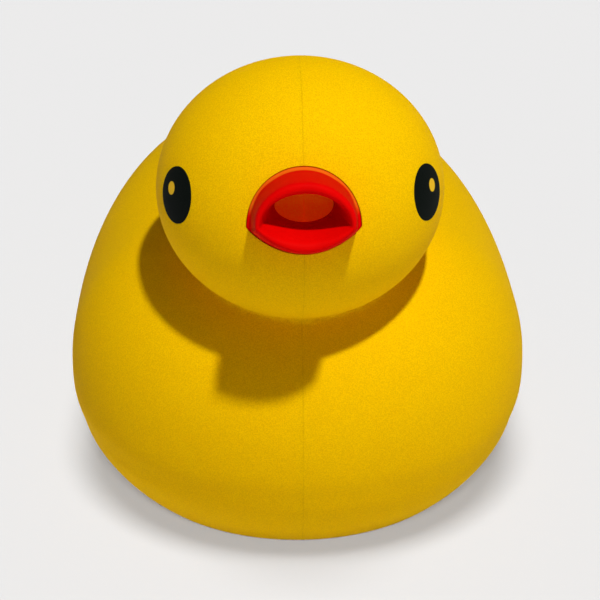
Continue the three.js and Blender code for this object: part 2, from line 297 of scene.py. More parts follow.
def egg(name, radii, centre, tilt=0.0, around=128, rings=96):
    """A ball drawn out to three radii, tilted nose up and set down at its centre."""
    settle()
    bpy.ops.mesh.primitive_uv_sphere_add(segments=around, ring_count=rings, radius=1)
    piece = named(name)
    open_mesh(piece)
    bpy.ops.mesh.select_all(action="SELECT")
    bpy.ops.transform.resize(value=[r * MM for r in radii])
    settle()
    piece.data.transform(Matrix.Translation(Vector(centre) * MM) @ Matrix.Rotation(tilt, 4, "X"))
    return piece


def head_form(inset, around=160, rings=120):
    radii = (HEAD_RADIUS - inset, HEAD_RADIUS - inset, HEAD_TALL - inset)
    return egg("head_form", radii, HEAD, around=around, rings=rings)


def tail_form(inset):
    return egg("tail_form", [r - inset for r in TAIL_RADII], TAIL, TAIL_TILT, 96, 64)


# ---------------------------------------------------------------- the bill's own frame

bill_out = Vector((0, -math.cos(BILL_TILT), math.sin(BILL_TILT)))
bill_up = Vector((0, math.sin(BILL_TILT), math.cos(BILL_TILT)))
bill_root = HEAD + bill_out * BILL_REACH


def bill_place(x, up, out):
    """A place in metres, from distances in millimetres across, up and out along the bill."""
    return (bill_root + Vector((x, 0, 0)) + bill_up * up + bill_out * out) * MM


def skin_out(x, up, inset):
    """How far out along the bill the head's surface lies above a point of the bill's outline."""
    wide, tall = HEAD_RADIUS - inset, HEAD_TALL - inset
    start = bill_root + Vector((x, 0, 0)) + bill_up * up - HEAD
    scale = Vector((1 / wide, 1 / wide, 1 / tall))
    p = Vector([a * b for a, b in zip(start, scale)])
    d = Vector([a * b for a, b in zip(bill_out, scale)])
    a, b, c = d.dot(d), 2 * p.dot(d), p.dot(p) - 1
    return (-b + math.sqrt(b * b - 4 * a * c)) / (2 * a)


def bill_edge(section, turn):
    """A tall arch above the mouth's corners and a shallow bow below them."""
    half, top, bottom, corner, bow = section
    rise = math.sin(turn)
    low = bow * rise * rise + (1 - bow) * abs(rise)
    up = (top - corner) * rise if rise > 0 else (bottom - corner) * low
    return half * math.cos(turn), corner + up


def bill_ring(section, out, notch=0.0, on_skin=None, sides=96):
    """One ring of the bill. A notch draws it in at the mouth's corners."""
    points = []
    for i in range(sides):
        turn = math.tau * i / sides
        x, up = bill_edge(section, turn)
        near = min(abs(math.remainder(turn, math.tau)), abs(math.remainder(turn - math.pi, math.tau)))
        x -= math.copysign(notch * math.exp(-(near / BILL_CORNER_SPREAD) ** 2), x)
        reach = out if on_skin is None else skin_out(x, up, on_skin) + out
        points.append(bill_place(x, up, reach))
    return points


def bill_prism(name, section, low, high, sides=96):
    """A straight plug with the bill's outline."""
    settle()
    bpy.ops.mesh.primitive_circle_add(vertices=sides, radius=1, fill_type="NGON")
    piece = named(name)
    mesh = open_mesh(piece)
    mesh.verts.ensure_lookup_table()
    for i, corner in enumerate(mesh.verts):
        x, up = bill_edge(section, math.tau * i / sides)
        corner.co = bill_place(x, up, low)
    bmesh.update_edit_mesh(piece.data)
    bpy.ops.mesh.select_all(action="SELECT")
    step = bill_out * (high - low) * MM
    bpy.ops.mesh.extrude_region_move(TRANSFORM_OT_translate={"value": step})
    return face_outwards(piece)


def looking_out(origin, way):
    """A frame at the origin whose upright axis looks along the way."""
    turn = Vector((0, 0, 1)).rotation_difference(way)
    return Matrix.Translation(Vector(origin) * MM) @ turn.to_matrix().to_4x4()


def eye_frame(side):
    return looking_out(HEAD, Vector((EYE_WAY.x * side, EYE_WAY.y, EYE_WAY.z)))


tether_frame = Matrix.Translation(TETHER_SEAT * MM) @ Matrix.Rotation(TETHER_TILT, 4, "X")


# ---------------------------------------------------------------- finishes


class Wire:
    """A socket that can be added to, multiplied and so on as a plain value."""

    def __init__(self, finish, socket):
        self.finish, self.socket = finish, socket

    def sum(self, operation, first, second=0.0):
        return self.finish.node("ShaderNodeMath", {"operation": operation}, {0: first, 1: second})

    def __add__(self, other): return self.sum("ADD", self, other)
    def __radd__(self, other): return self.sum("ADD", other, self)
    def __sub__(self, other): return self.sum("SUBTRACT", self, other)
    def __rsub__(self, other): return self.sum("SUBTRACT", other, self)
    def __mul__(self, other): return self.sum("MULTIPLY", self, other)
    def __rmul__(self, other): return self.sum("MULTIPLY", other, self)
    def __truediv__(self, other): return self.sum("DIVIDE", self, other)
    def __pow__(self, other): return self.sum("POWER", self, other)
    def __abs__(self): return self.sum("ABSOLUTE", self)

    def between(self, low, high):
        """Runs smoothly from 0 at low to 1 at high."""
        inputs = {"Value": self, "From Min": low, "From Max": high}
        return self.finish.node("ShaderNodeMapRange", {"interpolation_type": "SMOOTHSTEP"}, inputs)


class Finish:
    """A material for one of the dispenser's pieces."""

    def __init__(self, name, roughness, metallic=0.0, **own):
        self.material = bpy.data.materials.new(name)
        self.material.use_nodes = True
        self.tree = self.material.node_tree
        self.shader = self.tree.nodes["Principled BSDF"]
        self.shader.inputs["Roughness"].default_value = roughness
        self.shader.inputs["Metallic"].default_value = metallic
        for key, value in own.items():
            self.shader.inputs[key.replace("_", " ")].default_value = value
        self.place = self.node("ShaderNodeTexCoord", {}, {}, "Object")

    def node(self, kind, settings, inputs, output=0):
        """Adds a node with its settings, and fills or links its sockets."""
        made = self.tree.nodes.new(kind)
        for key, value in settings.items():
            setattr(made, key, value)
        for key, value in inputs.items():
            if isinstance(value, Wire):
                self.tree.links.new(value.socket, made.inputs[key])
            else:
                made.inputs[key].default_value = value
        return Wire(self, made.outputs[output])

    def feed(self, name, wire):
        self.tree.links.new(wire.socket, self.shader.inputs[name])

    def distance(self, spot):
        """How far each point is from one spot, in metres."""
        return self.node("ShaderNodeVectorMath", {"operation": "DISTANCE"}, {0: self.place, 1: spot}, 1)

    def noise(self, scale, detail=2.0, roughness=0.5, along=None):
        inputs = {"Vector": along or self.place, "Scale": scale, "Detail": detail, "Roughness": roughness}
        return self.node("ShaderNodeTexNoise", {}, inputs, "Fac")

    def stretched(self, scale):
        return self.node("ShaderNodeMapping", {}, {"Vector": self.place, "Scale": scale})

    def blend(self, mask, low, high):
        """Low where the mask is 0, high where it is 1."""
        def rgba(c):
            return c if isinstance(c, Wire) else (*c, 1)
        inputs = {0: mask, 6: rgba(low), 7: rgba(high)}
        return self.node("ShaderNodeMix", {"data_type": "RGBA"}, inputs, 2)

    def bump(self, height, distance, strength=1.0, under=None):
        inputs = {"Height": height, "Distance": distance, "Strength": strength}
        if under is not None:
            inputs["Normal"] = under
        return self.node("ShaderNodeBump", {}, inputs)

    def axes(self):
        """The three coordinates of a point, in metres."""
        split = self.node("ShaderNodeSeparateXYZ", {}, {"Vector": self.place})
        return [Wire(self, output) for output in split.socket.node.outputs]


def duck_yellow():
    """Soft matte vinyl with a fine grain, a hairline where the mould closes, and a painted red glow deep in
    the throat that stands in for light bounced off the bill.
    """
    f = Finish("duck_yellow_vinyl", 0.75, Specular_IOR_Level=0.01, Subsurface_Weight=0.12,
               Subsurface_Radius=(1.0, 0.36, 0.02), Subsurface_Scale=0.006, Emission_Strength=1.0)
    deep, bright = (0.90, 0.495, 0.0003), (0.93, 0.520, 0.0004)
    dark_speck, pale_speck = (0.76, 0.400, 0.0003), (1.0, 0.595, 0.0004)
    seam_brown, painted_throat_glow = (0.58, 0.25, 0.0004), (0.21, 0.006, 0.0)
    x = f.axes()[0]
    grain = f.noise(2050, 2, 0.6)
    clouds = f.noise(26, 3)
    seam = 1 - abs(x).between(0.00008, 0.00036)
    broken = f.noise(130, 2).between(0.36, 0.62)
    base = f.blend(clouds.between(0.35, 0.65), deep, bright)
    specks = f.blend(grain.between(0.36, 0.66), dark_speck, pale_speck)
    colour = f.blend(0.62, base, specks)
    f.feed("Base Color", f.blend(seam * (0.06 + 0.18 * broken), colour, seam_brown))
    # Painted light: the yellow at the back of the throat glows red, standing in for red light bounced off the
    # bill into the mouth.
    off_throat = f.distance(bill_place(0, 2.2, -8.2))
    f.feed("Emission Color", f.blend(off_throat.between(0.013, 0.0105), (0, 0, 0), painted_throat_glow))
    f.feed("Roughness", 0.62 + 0.12 * grain + 0.06 * clouds)
    fine = f.bump(grain, 0.00010, 0.5)
    f.feed("Normal", f.bump(1 - seam, 0.00005, 0.5, under=fine))
    return f.material


def bill_red():
    """The bill's smoother red vinyl, with a painted orange highlight along its rim above the mouth, where the
    rim meets the head.
    """
    f = Finish("bill_red_vinyl", 0.6, Specular_IOR_Level=0.015, Subsurface_Weight=0.1,
               Subsurface_Radius=(1.0, 0.04, 0.02), Subsurface_Scale=0.004)
    deep, bright, rim_highlight_orange = (0.67, 0.0005, 0.0004), (0.74, 0.0008, 0.0006), (0.82, 0.15, 0.006)
    grain = f.noise(2200, 3, 0.6)
    clouds = f.noise(60, 2)
    x, y, z = f.axes()
    arch_foot, arch_tall, arch_half = 0.0008, 0.0157, 0.0216
    arch = (z * bill_up.z + y * bill_up.y - bill_root.dot(bill_up) * MM - arch_foot) / arch_tall
    reach = (x * x / arch_half ** 2 + arch * arch) ** 0.5
    radii = Vector((HEAD_RADIUS, HEAD_RADIUS, HEAD_TALL)) * MM
    from_head = f.node("ShaderNodeVectorMath", {"operation": "SUBTRACT"}, {0: f.place, 1: HEAD * MM})
    off_head = f.node("ShaderNodeVectorMath", {"operation": "DIVIDE"}, {0: from_head, 1: radii})
    lift = f.node("ShaderNodeVectorMath", {"operation": "LENGTH"}, {0: off_head}, 1)
    # Painted highlight: along the upper rim where it meets the head, the red turns orange, standing in for
    # light caught by the rim's edge and yellow light bounced off the head.
    rim = lift.between(1.024, 1.006) * reach.between(0.84, 0.88) * arch.between(-0.2, 0.1)
    f.feed("Base Color", f.blend(rim * 0.8, f.blend(clouds.between(0.3, 0.7), deep, bright), rim_highlight_orange))
    f.feed("Roughness", 0.5 + 0.12 * grain + 0.06 * clouds)
    f.feed("Normal", f.bump(grain, 0.00008, 0.4))
    return f.material


def eye_black():
    """Printed black with a fine tooth, and a round pale glint."""
    f = Finish("eye_black_print", 0.6, Specular_IOR_Level=0.015)
    inky, greyer, pale = (0.002, 0.0035, 0.003), (0.006, 0.0085, 0.007), (0.85, 0.50, 0.02)
    grain = f.noise(3000, 3, 0.6)
    glint = 0.0
    for side in (1, -1):
        off_spot = f.distance(eye_frame(side) @ (GLINT * MM))
        glint = off_spot.between(0.00275, 0.00245) + glint
    f.feed("Base Color", f.blend(glint, f.blend(grain.between(0.3, 0.7), inky, greyer), pale))
    f.feed("Roughness", 0.5 + 0.16 * grain)
    f.feed("Normal", f.bump(grain, 0.00006, 0.4))
    return f.material


def fit_out(piece, node, finish):
    """Gives a finished piece its material, its body and the frame piece it stands for."""
    body = next(b for b, members in frame["record"]["behaviour"]["bodies"].items() if node in members)
    piece.data.materials.clear()
    piece.data.materials.append(finish)
    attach(piece, body)
    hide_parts(node)


# ---------------------------------------------------------------- shell, bill and eyes

# Half width, top, bottom, height of the mouth's corners, and how round the bow below them is.
RIM_SEAT = (21.75, 16.65, -16.65, -6.3, 0.8)
PLUG_SEAT = (20.6, 15.6, -15.6, -6, 0.8)
POCKET = (23.2, 18.2, -18.2, -6, 0.8)
POCKET_BACK, PLUG_BACK, BEYOND_SKIN = -11.5, -8.3, 16
RIM_DEPTH, EYE_DEPTH, EYE_GAP = 2.0, 1.2, 0.12
FOOT_THICK, FOOT_SEAT, WELL_HOLE = 68.4, 65.6, 51.5
SEAM_GAP = 0.01


def plain_skin():
    """Body, head and tail run together, with the creases between them eased."""
    skin = weld(body_form(0), head_form(0), tail_form(0))
    skin.name = skin.data.name = "duck"
    voxel = 0.0014
    finish_with(skin, "REMESH", mode="VOXEL", voxel_size=voxel)
    return finish_with(skin, "SMOOTH", factor=0.5, iterations=6)


def thick_places(skin):
    """The solid places inside the wall, where the bill, the foot ring and the tether are held."""
    places = rod("posts", FOOT_THICK, 0, 13)
    pocket = bill_prism("bill_pocket", POCKET, POCKET_BACK, 4)
    weld(places, pocket, rod("tether_boss", 13, -9, 0, lay=tether_frame))
    for place in SCREWS:
        weld(places, rod("screw_post", 4, 10, 22, place, 32))
    return keep_inside(places, copy_of(skin, "skin_copy"))


def duck_shell():
    """The hollow duck with its seats and screw holes, parted down the middle."""
    skin = plain_skin()
    places = thick_places(skin)
    hollow = weld(body_form(WALL, 64, 48), head_form(WALL, 64, 48), tail_form(WALL))
    cut(skin, hollow)
    weld(skin, places)
    rim = cut(bill_prism("rim_seat", RIM_SEAT, -14, BEYOND_SKIN), head_form(RIM_DEPTH))
    cut(skin, rim, bill_prism("plug_seat", PLUG_SEAT, PLUG_BACK, BEYOND_SKIN))
    for side in (1, -1):
        pocket = rod("eye_pocket", EYE_RADIUS + EYE_GAP, 40, 64, lay=eye_frame(side))
        cut(skin, cut(pocket, head_form(EYE_DEPTH)))
    ring_recess = rod("ring_recess", FOOT_SEAT, -1, 10, sides=160)
    cut(skin, ring_recess, rod("well_hole", WELL_HOLE, -1, 16, sides=128))
    cut(skin, rod("tether_recess", 11.2, -1.2, 6, lay=tether_frame))
    for x in (-TETHER_SCREW_X, TETHER_SCREW_X):
        cut(skin, rod("tether_pilot", 1.5, -7.6, 4, (x, 0), 24, tether_frame))
    for place in SCREWS:
        cut(skin, rod("screw_pilot", 1.7, 0, 20, place, 24))
    halves = []
    for name, side in (("shell_left", 1), ("shell_right", -1)):
        half = copy_of(skin, name)
        keep_inside(half, block("half_space", (200, 400, 400), (side * (100 + SEAM_GAP), 0, 100)))
        smooth_by_angle(half, 32)
        halves.append(half)
    bpy.data.objects.remove(skin)
    return halves


def duck_bill():
    """Plug, draped rim, outer walls, rolled lips, mouth and throat, in one run of rings."""
    plug, rim = (20, 15, -15, -6, 0.8), (21.6, 16.5, -16.5, -6.3, 0.8)
    rim_in, throat = (21.3, 16.2, -16.2, -6.25, 0.8), (11, 8.9, -4.5, 2.2, 0)
    from_skin = (       # section, distance out from the head's skin, notch
        (plug, -1.9, 0), (rim_in, -1.9, 0), (rim, -1.6, 0), (rim, -0.75, 0), (rim_in, -0.45, 0),
        ((20.9, 15.8, -15.8, -6.1, 0.8), -0.42, 0),
        ((20.5, 15.4, -15.3, -6.0, 0.8), -0.2, 0.1),
        ((20.3, 15.2, -15.1, -5.9, 0.8), 0.9, 0.4))
    from_root = (       # section, distance out from the bill's root, notch
        ((20.2, 15.2, -14.9, -5.7, 0.8), 3.2, 0.8), ((20, 15.1, -14.5, -5.2, 0.8), 7, 1.0),
        ((19.65, 14.8, -13.5, -4.2, 0.8), 12, 1.0), ((19.3, 14.5, -12.7, -3.3, 0.8), 16, 0.9),
        ((19.05, 14.2, -12.1, -2.6, 0.8), 18.3, 0.6), ((18.6, 13.7, -11.5, -2.2, 0.8), 19.5, 0.3),
        ((17.9, 12.6, -10.6, -2.1, 0.8), 20.0, 0.1), ((17.2, 11.4, -9.4, -2.1, 0.8), 19.95, 0),
        ((16.6, 10.4, -8.3, -2.1, 0.8), 19.3, 0), ((16.25, 9.8, -7.5, -2.0, 0.8), 18, 0),
        ((15.6, 9.5, -6.7, -1.6, 0.8), 15, 0), ((14.2, 9.3, -5.6, -0.5, 0.65), 10, 0),
        ((12.6, 9.1, -4.9, 0.9, 0.35), 5, 0), ((11.3, 8.95, -4.5, 2.0, 0.1), 1.2, 0),
        (throat, -0.6, 0), (throat, -3, 0), (throat, -8, 0))
    rings = [bill_ring(plug, -8)]
    rings += [bill_ring(section, out, notch, on_skin=0) for section, out, notch in from_skin]
    rings += [bill_ring(section, out, notch) for section, out, notch in from_root]
    bill = lofted("bill_lips", rings)
    finish_with(bill, "SUBSURF", levels=2, render_levels=2)
    return smooth_by_angle(bill, 60)


def duck_eye(name, side):
    """A button whose face follows the head's skin and stands just proud of it."""
    eye = rod(name, EYE_RADIUS, 40, 62, lay=eye_frame(side))
    keep_inside(eye, head_form(-0.06))
    cut(eye, head_form(1.0))
    return smooth_by_angle(eye, 30)


yellow, red, black = duck_yellow(), bill_red(), eye_black()
for half, node in zip(duck_shell(), ("shell_left", "shell_right")):
    half.name = half.data.name = node.replace("shell", "duck_half")
    fit_out(half, node, yellow)
fit_out(duck_bill(), "bill", red)
for side, node in ((1, "eye_left"), (-1, "eye_right")):
    fit_out(duck_eye(node.replace("eye", "eye_button"), side), node, black)

# ---------------------------------------------------------------- the dispenser in the belly, in millimetres

WELL_IN, WELL_OUT, WELL_CEILING, WELL_TOP = 49, 51, 103, 105
FLANGE_RADIUS, FLANGE_LOW, FLANGE_HIGH = 65, 5.3, 7.7
SLEEVE_IN, SLEEVE_OUT, SLEEVE_TOP = 40.8, 43, 89.7
LID_RADIUS, LID_LOW, LID_HIGH = 48.4, 97.8, 100
COLLAR_IN, COLLAR_OUT = 43.3, 45.4
TRAY_RADIUS, TRAY_LOW, TRAY_HIGH = 40.4, 14.7, 17
CAP_LOW, CAP_FLOOR = 1.2, 4.2
PAD_RADIUS, PAD_LOW, PAD_HIGH, EAR_RISE = 11, -0.9, 1.6, 7.5
MOORING, MOORING_RADIUS, MOORING_WIRE = Vector((0, 109.695, 20.75)), 8, 1.3
OVERSHOOT = 1           # how far a boring tool runs past each face


def ringed(tool, count, start=0.0):
    """Repeats a piece evenly round the dispenser's axis and joins the copies."""
    copies = []
    for i in range(count):
        turn = math.radians(start) + math.tau * i / count
        copies.append(copy_of(tool, tool.name, Matrix.Rotation(turn, 4, "Z")))
    bpy.data.objects.remove(tool)
    settle()
    for twin in copies:
        twin.select_set(True)
    bpy.context.view_layer.objects.active = copies[0]
    bpy.ops.object.join()
    return copies[0]


def pillow(name, size, at, radius):
    """A box with every edge rounded over."""
    return finish_with(block(name, size, at), "BEVEL", width=radius * MM, segments=4, limit_method="NONE")


def drill(name, radius, low, high, chamfer, at=(0, 0), sides=32):
    """A boring tool that breaks the edge where it enters and where it leaves."""
    flare = radius + chamfer + OVERSHOOT
    outline = [(0, low - OVERSHOOT), (flare, low - OVERSHOOT), (radius, low + chamfer),
               (radius, high - chamfer), (flare, high + OVERSHOOT), (0, high + OVERSHOOT)]
    tool = turned(name, outline, 0, sides)
    tool.data.transform(Matrix.Translation((at[0] * MM, at[1] * MM, 0)))
    return tool


def vent_tool():
    """One tall window with round corners, through sleeve and collar alike."""
    return pillow("vent_tool", (14, 13, 25), (44.2, 0, 30.5), 2.4)


def well_cup():
    """The closed well that the canister stows in, with the flange that holds it to the belly."""
    outline = [(0, WELL_CEILING), (WELL_IN, WELL_CEILING), (WELL_IN, FLANGE_LOW),
               (FLANGE_RADIUS, FLANGE_LOW), (FLANGE_RADIUS, FLANGE_HIGH), (WELL_OUT, FLANGE_HIGH),
               (WELL_OUT, WELL_TOP - 1.5), (WELL_OUT - 1.5, WELL_TOP), (0, WELL_TOP)]
    cup = turned("well_cup", outline, 0.5, 160)
    cut(cup, ringed(drill("flange_hole", 1.9, FLANGE_LOW, FLANGE_HIGH, 0.3, (SCREW_CIRCLE, 0)), 6))
    return smooth_by_angle(cup)


def flange_seal():
    """A flat gasket with two sealing beads on each face."""
    outline = [(52, 8.2), (53, 8.2), (53.6, 8), (54.2, 8.2), (54.8, 8.2), (55.4, 8), (56, 8.2), (57, 8.2),
               (57, 9.5), (56, 9.5), (55.4, 9.7), (54.8, 9.5), (54.2, 9.5), (53.6, 9.7), (53, 9.5), (52, 9.5)]
    return smooth_by_angle(turned("flange_seal", outline, 0.25, 128))


def ballast_weight():
    """A cast ring with draft on both sides."""
    outline = [(52.4, 22.3), (61.6, 22.3), (62, 25.3), (61.6, 28.3), (52.4, 28.3), (52, 25.3)]
    return smooth_by_angle(turned("ballast_weight", outline, 0.9, 128))


def foot_ring():
    """The ring the dispenser stands on, with a drip groove and sunk screw seats."""
    outline = [(46.3, 0.8), (47.1, 0), (49.4, 0), (49.8, 0.6), (50.6, 0.6), (51, 0),
               (64.5, 0), (65.3, 0.8), (65.3, 5), (46.3, 5)]
    ring = turned("foot_ring", outline, 0.35, 160)
    seat = turned("screw_seat", [(0, -1), (5.2, -1), (3.9, 0.3), (3.9, 3), (1.9, 3), (1.9, 6), (0, 6)], 0, 40)
    seat.data.transform(Matrix.Translation((SCREW_CIRCLE * MM, 0, 0)))
    cut(ring, ringed(seat, 6))
    return smooth_by_angle(ring)


def pan_screw(name, head, head_high, shank, length, place):
    """A pan head with a cross recess looking up, a rolled thread and a drawn point."""
    outline = [(0, -length), (shank * 0.35, -length + 0.6)]
    pitch, z = 1.1, -length + 1.4
    while z < -head_high - pitch:
        outline += [(shank * 0.74, z), (shank, z + pitch / 2)]
        z += pitch
    outline += [(shank * 0.8, z), (shank * 0.8, -head_high), (head, -head_high),
                (head, -head_high * 0.55), (head * 0.86, -head_high * 0.2), (head * 0.5, 0), (0, 0)]
    screw = turned(name, outline, 0, 40)
    slot = (head * 1.15, head * 0.24, head_high * 1.1)
    cut(screw, pillow("recess", slot, (0, 0, 0), head * 0.06))
    cut(screw, pillow("recess", (slot[1], slot[0], slot[2]), (0, 0, 0), head * 0.06))
    smooth_by_angle(screw, 40)
    screw.data.transform(place)
    return screw


def canister_tube():
    """The telescoping sleeve: four guide ribs, six vent windows and three slots for the tray's keys."""
    outline = [(SLEEVE_IN, 5.5), (SLEEVE_OUT, 5.5), (SLEEVE_OUT, 10.7), (44.6, 10.7),
               (44.6, 12.7), (SLEEVE_OUT, 12.7), (SLEEVE_OUT, SLEEVE_TOP), (SLEEVE_IN, SLEEVE_TOP)]
    tube = turned("canister_tube", outline, 0.35, 160)
    weld(tube, ringed(pillow("guide_rib", (4.2, 4, 41.6), (43.6, 0, 68.1), 0.7), 4, 45))
    cut(tube, ringed(vent_tool(), 6))
    cut(tube, ringed(pillow("key_slot", (3.4, 6, 18), (40.2, 0, 10.5), 0.4), 3, 90))
    return smooth_by_angle(tube, 30)


def canister_lid():
    """The canister's closed head, with the stop rim, the seal's groove and six air holes."""
    groove = 45.8
    outline = [(0, LID_LOW), (SLEEVE_IN, LID_LOW), (SLEEVE_IN, 90), (groove, 90), (LID_RADIUS, 92),
               (LID_RADIUS, 94.5), (groove, 94.5), (groove, 97.5), (LID_RADIUS, 97.5),
               (LID_RADIUS, LID_HIGH - 0.6), (LID_RADIUS - 0.6, LID_HIGH), (0, LID_HIGH)]
    lid = turned("canister_lid", outline, 0.3, 160)
    cut(lid, ringed(drill("air_hole", 2.5, LID_LOW, LID_HIGH, 0.3, (22, 0)), 6))
    return smooth_by_angle(lid, 30)


def seal_ring():
    """A moulded ring of round cord, with the thin flash its mould leaves on the outside."""
    middle, height, cord, flash, sides = 47.2, 96, 1.15, 1.2, 24
    outline = []
    for i in range(sides):
        turn = math.tau * i / sides
        reach = cord if i else flash
        outline.append((middle + reach * math.cos(turn), height + reach * math.sin(turn)))
    return smooth_by_angle(turned("seal_ring", outline, 0, 160), 60)


def flow_collar():
    """The turning collar: six windows, and thumb ridges between them."""
    outline = [(COLLAR_IN, 13), (COLLAR_OUT, 13), (COLLAR_OUT, 47), (COLLAR_IN, 47)]
    collar = turned("flow_collar", outline, 0.5, 160)
    for offset in (18, 22.8, 27.6, 32.4, 37.2, 42):
        weld(collar, ringed(pillow("thumb_ridge", (1.7, 1.3, 27), (45.05, 0, 30.2), 0.45), 6, offset))
    cut(collar, ringed(vent_tool(), 6))
    return smooth_by_angle(collar, 30)


def tray_grid():
    """The tablets' perforated tray, with two low ribs that hold them off the holes."""
    outline = [(0, TRAY_LOW), (TRAY_RADIUS, TRAY_LOW), (TRAY_RADIUS, TRAY_HIGH), (0, TRAY_HIGH)]
    tray = turned("tray_grid", outline, 0.5, 144)
    weld(tray, ringed(pillow("tray_key", (4.55, 5.2, 2.1), (39.27, 0, 15.85), 0.4), 3, 90))
    for inner in (20, 36.6):
        rib = [(inner, 16.5), (inner + 1.4, 16.5), (inner + 1.4, 17.8), (inner, 17.8)]
        weld(tray, turned("tray_rib", rib, 0.4, 96))
    cut(tray, drill("tray_hole", 4, TRAY_LOW, TRAY_HIGH, 0.3))
    cut(tray, ringed(drill("tray_hole", 4.2, TRAY_LOW, TRAY_HIGH, 0.3, (14, 0)), 6))
    cut(tray, ringed(drill("tray_hole", 5.5, TRAY_LOW, TRAY_HIGH, 0.3, (29, 0), 40), 10))
    return smooth_by_angle(tray, 30)


def screw_cap():
    """The cap under the canister: drain holes, a fluted skirt and a bar to turn it by."""
    outline = [(0, 12), (20, 12), (24, 8), (24, CAP_LOW), (44.4, CAP_LOW), (45.4, 2.2), (45.4, 10.2),
               (43.3, 10.2), (43.3, CAP_FLOOR), (26.4, CAP_FLOOR), (26.4, 9), (21.2, 14.4), (0, 14.4)]
    cap = turned("screw_cap", outline, 0.6, 160)
    weld(cap, pillow("turning_bar", (44, 6, 11.5), (0, 0, 7.6), 1.7))
    cut(cap, ringed(drill("drain_hole", 3.5, CAP_LOW, CAP_FLOOR, 0.4, (35, 0)), 12))
    cut(cap, ringed(rod("flute", 1.2, 2.6, 12, (46.15, 0), 16), 60))
    return smooth_by_angle(cap, 30)


def tether_eye():
    """A round pad with an ear standing on it, for the ring that the duck is moored by."""
    outline = [(0, PAD_LOW), (PAD_RADIUS, PAD_LOW), (PAD_RADIUS, PAD_HIGH), (0, PAD_HIGH)]
    pad = turned("tether_eye", outline, 0.7, 96)
    crosswise = Matrix.Translation((0, 0, EAR_RISE * MM)) @ Matrix.Rotation(math.pi / 2, 4, "Y")
    ear = turned("ear", [(0, -2), (4.8, -2), (4.8, 2), (0, 2)], 0.6, 64)
    ear.data.transform(crosswise)
    weld(pad, pillow("stem", (4, 9.4, 7.4), (0, 0, 3.9), 0.6), ear)
    eye = drill("eye_hole", 2.4, -2, 2, 0.4)
    eye.data.transform(crosswise)
    cut(pad, eye)
    for x in (TETHER_SCREW_X, -TETHER_SCREW_X):
        cut(pad, drill("screw_hole", 1.6, PAD_LOW, PAD_HIGH, 0.3, (x, 0)))
    pad.data.transform(tether_frame)
    return smooth_by_angle(pad, 30)


def mooring_ring():
    """A ring bent from wire, with the swelling where its ends are welded."""
    centre, weld_turn = MOORING * MM, math.radians(55)
    settle()
    bpy.ops.mesh.primitive_torus_add(
        major_segments=96, minor_segments=24, major_radius=MOORING_RADIUS * MM,
        minor_radius=MOORING_WIRE * MM, location=centre, rotation=(math.pi / 2, 0, 0))
    ring = named("mooring_ring")
    mesh = open_mesh(ring)
    for corner in mesh.verts:
        spoke = Vector((corner.co.x, 0, corner.co.z - centre.z)).normalized()
        core = centre + spoke * MOORING_RADIUS * MM
        turn = math.atan2(spoke.z, spoke.x) + weld_turn
        swell = 0.09 * math.exp(-(turn / 0.1) ** 2) - 0.06 * math.exp(-((abs(turn) - 0.2) / 0.05) ** 2)
        corner.co = core + (corner.co - core) * (1 + swell)
    bmesh.update_edit_mesh(ring.data)
    settle()
    return smooth_by_angle(ring, 60)


def white_plastic():
    """Satin white moulding with faint flow marks."""
    f = Finish("white_plastic", 0.4, Specular_IOR_Level=0.4, Subsurface_Weight=0.06,
               Subsurface_Radius=(0.9, 0.8, 0.6), Subsurface_Scale=0.002)
    creamy, white = (0.69, 0.70, 0.675), (0.73, 0.735, 0.71)
    grain, clouds = f.noise(2400, 3, 0.6), f.noise(34, 3)
    f.feed("Base Color", f.blend(clouds.between(0.3, 0.7), creamy, white))
    f.feed("Roughness", 0.34 + 0.1 * grain + 0.1 * clouds)
    f.feed("Normal", f.bump(grain, 0.00006, 0.4))
    return f.material


def blue_plastic():
    """Satin blue moulding with faint flow marks."""
    f = Finish("blue_plastic", 0.36, Specular_IOR_Level=0.45)
    deep, bright = (0.004, 0.05, 0.20), (0.008, 0.075, 0.27)
    grain, flow = f.noise(2400, 3, 0.6), f.noise(1, 4, 0.6, along=f.stretched((40, 40, 160)))
    f.feed("Base Color", f.blend(flow.between(0.3, 0.7), deep, bright))
    f.feed("Roughness", 0.3 + 0.1 * grain + 0.1 * flow)
    f.feed("Normal", f.bump(grain, 0.00005, 0.4))
    return f.material


def seal_rubber():
    """Black rubber with a dusty bloom."""
    f = Finish("seal_rubber", 0.75, Specular_IOR_Level=0.3)
    black, dusty = (0.008, 0.008, 0.008), (0.03, 0.03, 0.028)
    grain, bloom = f.noise(3200, 3, 0.65), f.noise(180, 3)
    f.feed("Base Color", f.blend(bloom.between(0.45, 0.75), black, dusty))
    f.feed("Roughness", 0.62 + 0.2 * grain)
    f.feed("Normal", f.bump(grain, 0.00008, 0.5))
    return f.material


def stainless():
    """Rolled stainless steel, faintly drawn along its length."""
    f = Finish("stainless", 0.26, 1.0)
    dull, clean = (0.46, 0.47, 0.48), (0.62, 0.63, 0.64)
    drawn, cloud = f.noise(1, 3, 0.6, along=f.stretched((900, 900, 5200))), f.noise(300, 3)
    f.feed("Base Color", f.blend(cloud, dull, clean))
    f.feed("Roughness", 0.18 + 0.22 * drawn)
    f.feed("Normal", f.bump(drawn, 0.00002, 0.35))
    return f.material


def ballast_iron():
    """Cast iron under a dull dark coating, thin and browner in spots."""
    f = Finish("ballast_iron", 0.6, Specular_IOR_Level=0.3)
    dark, grey, rust = (0.014, 0.015, 0.017), (0.035, 0.036, 0.038), (0.075, 0.035, 0.018)
    cast, spots = f.noise(900, 4, 0.65), f.noise(140, 3)
    worn = spots.between(0.56, 0.72)
    f.feed("Base Color", f.blend(worn, f.blend(cast, dark, grey), rust))
    f.feed("Roughness", 0.5 + 0.2 * cast + 0.12 * worn)
    f.feed("Normal", f.bump(cast, 0.00025, 0.6))
    return f.material


